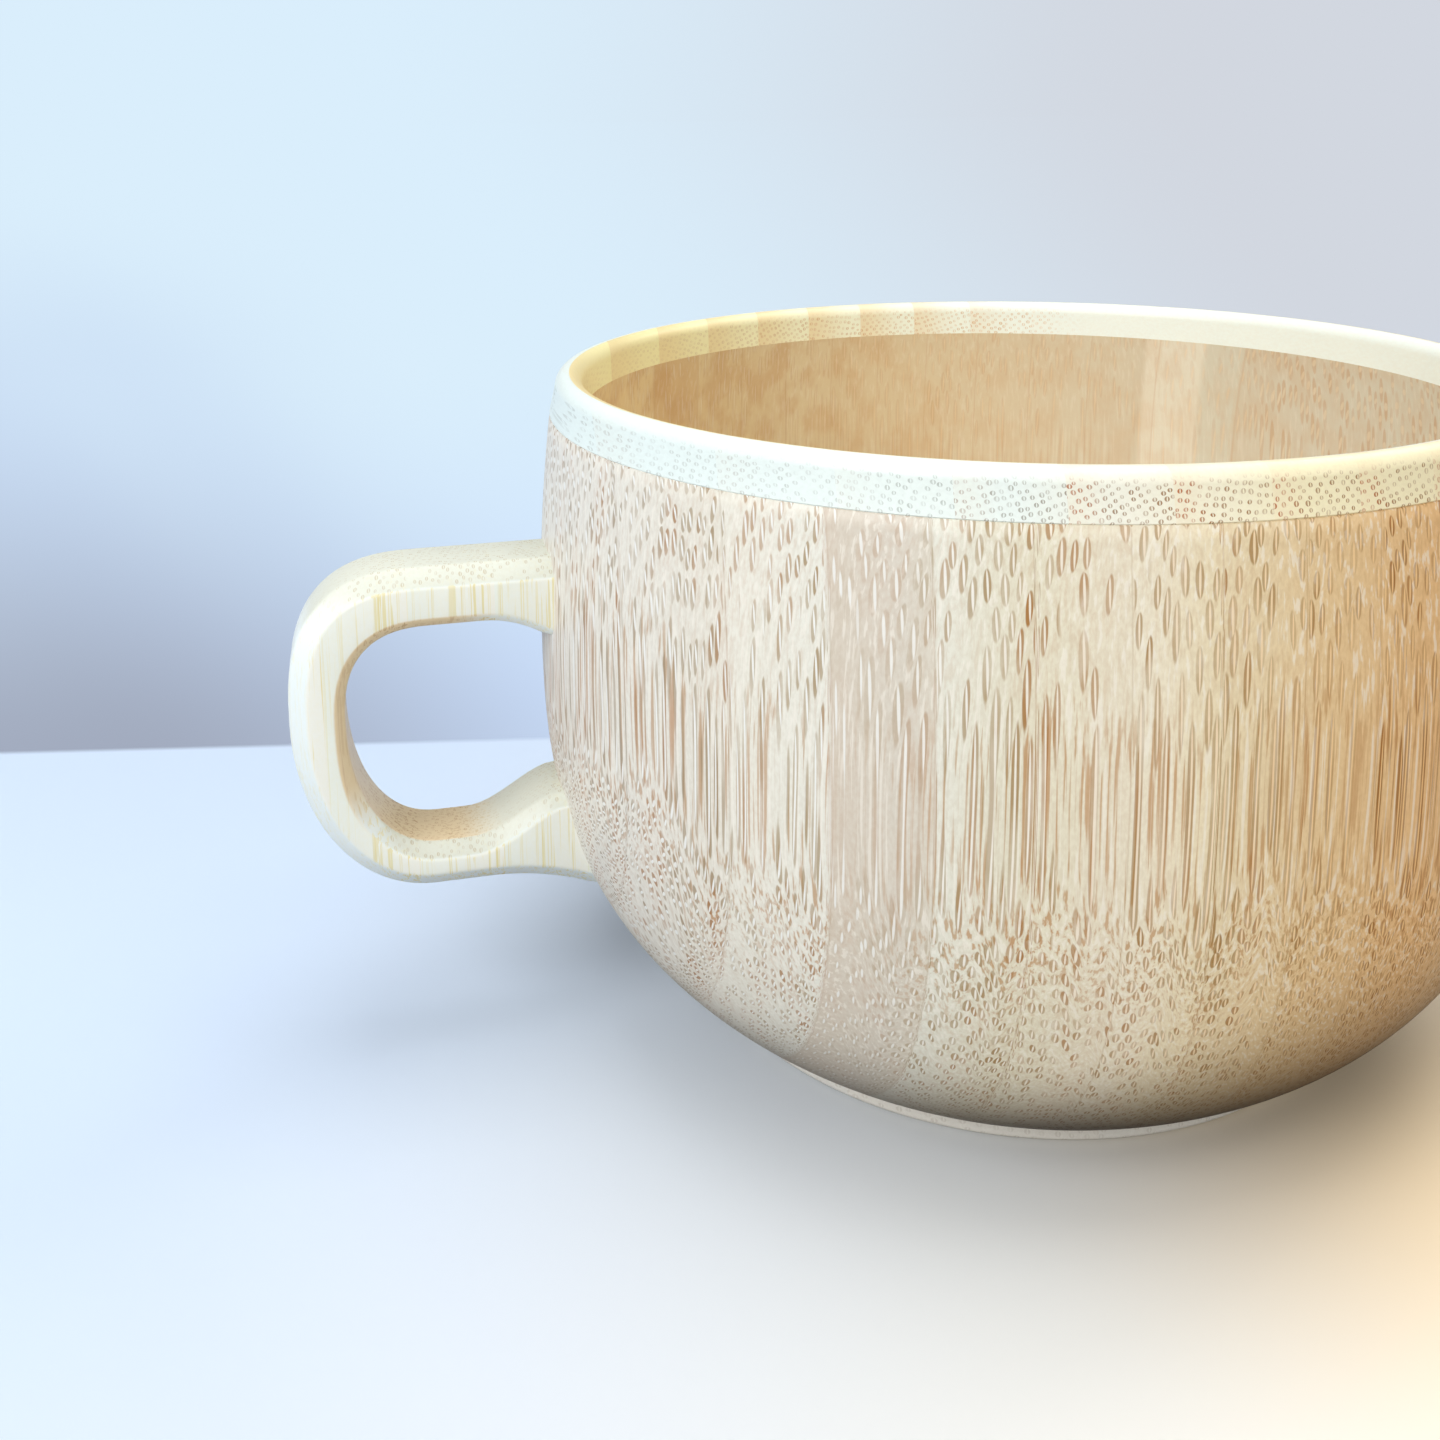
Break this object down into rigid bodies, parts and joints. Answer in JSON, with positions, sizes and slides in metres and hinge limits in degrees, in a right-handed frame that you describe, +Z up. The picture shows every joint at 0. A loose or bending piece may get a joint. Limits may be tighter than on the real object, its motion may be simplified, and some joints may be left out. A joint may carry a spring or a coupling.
{
  "type": "bamboo cup",
  "caption": "Low round cup turned from laminated bamboo strips, with a pale rim ring, a pale loop handle and a thin foot.",
  "frame": {"origin": "centre of the foot's underside, on the cup's axis", "axes": "+Z up along the cup's axis; the handle stands out towards -X"},
  "size_m": [0.1332, 0.107, 0.0696],
  "materials": {
    "brown_bamboo": "satin",
    "rim_bamboo": "satin",
    "foot_bamboo": "satin",
    "handle_bamboo": "satin",
    "dowel_bamboo": "matte"
  },
  "bodies": {
    "root": {"body_strip_handle_side": "brown_bamboo", "body_strip_far_side": "brown_bamboo", "body_strip_02_front": "brown_bamboo", "body_strip_02_back": "brown_bamboo", "body_strip_03_front": "brown_bamboo", "body_strip_03_back": "brown_bamboo", "body_strip_04_front": "brown_bamboo", "body_strip_04_back": "brown_bamboo", "body_strip_05_front": "brown_bamboo", "body_strip_05_back": "brown_bamboo", "body_strip_06_front": "brown_bamboo", "body_strip_06_back": "brown_bamboo", "body_strip_07_front": "brown_bamboo", "body_strip_07_back": "brown_bamboo", "body_strip_08_front": "brown_bamboo", "body_strip_08_back": "brown_bamboo", "body_strip_09_front": "brown_bamboo", "body_strip_09_back": "brown_bamboo", "body_strip_10_front": "brown_bamboo", "body_strip_10_back": "brown_bamboo", "body_strip_11_front": "brown_bamboo", "body_strip_11_back": "brown_bamboo", "body_strip_12_front": "brown_bamboo", "body_strip_12_back": "brown_bamboo", "body_strip_13_front": "brown_bamboo", "body_strip_13_back": "brown_bamboo", "body_strip_14_front": "brown_bamboo", "body_strip_14_back": "brown_bamboo", "body_strip_15_front": "brown_bamboo", "body_strip_15_back": "brown_bamboo", "rim_strip_01": "rim_bamboo", "rim_strip_02": "rim_bamboo", "rim_strip_03": "rim_bamboo", "rim_strip_04": "rim_bamboo", "rim_strip_05": "rim_bamboo", "rim_strip_06": "rim_bamboo", "rim_strip_07": "rim_bamboo", "rim_strip_08": "rim_bamboo", "rim_strip_09": "rim_bamboo", "rim_strip_10": "rim_bamboo", "rim_strip_11": "rim_bamboo", "rim_strip_12": "rim_bamboo", "rim_strip_13": "rim_bamboo", "base_strip_1": "foot_bamboo", "base_strip_2": "foot_bamboo", "base_strip_3": "foot_bamboo", "base_strip_4": "foot_bamboo", "handle_upper_inner_strip": "handle_bamboo", "handle_lower_inner_strip": "handle_bamboo", "handle_upper_middle_strip": "handle_bamboo", "handle_lower_middle_strip": "handle_bamboo", "handle_bend_strip": "handle_bamboo", "handle_outer_strip": "handle_bamboo", "upper_dowel": "dowel_bamboo", "lower_dowel": "dowel_bamboo"}
  },
  "joints": []
}
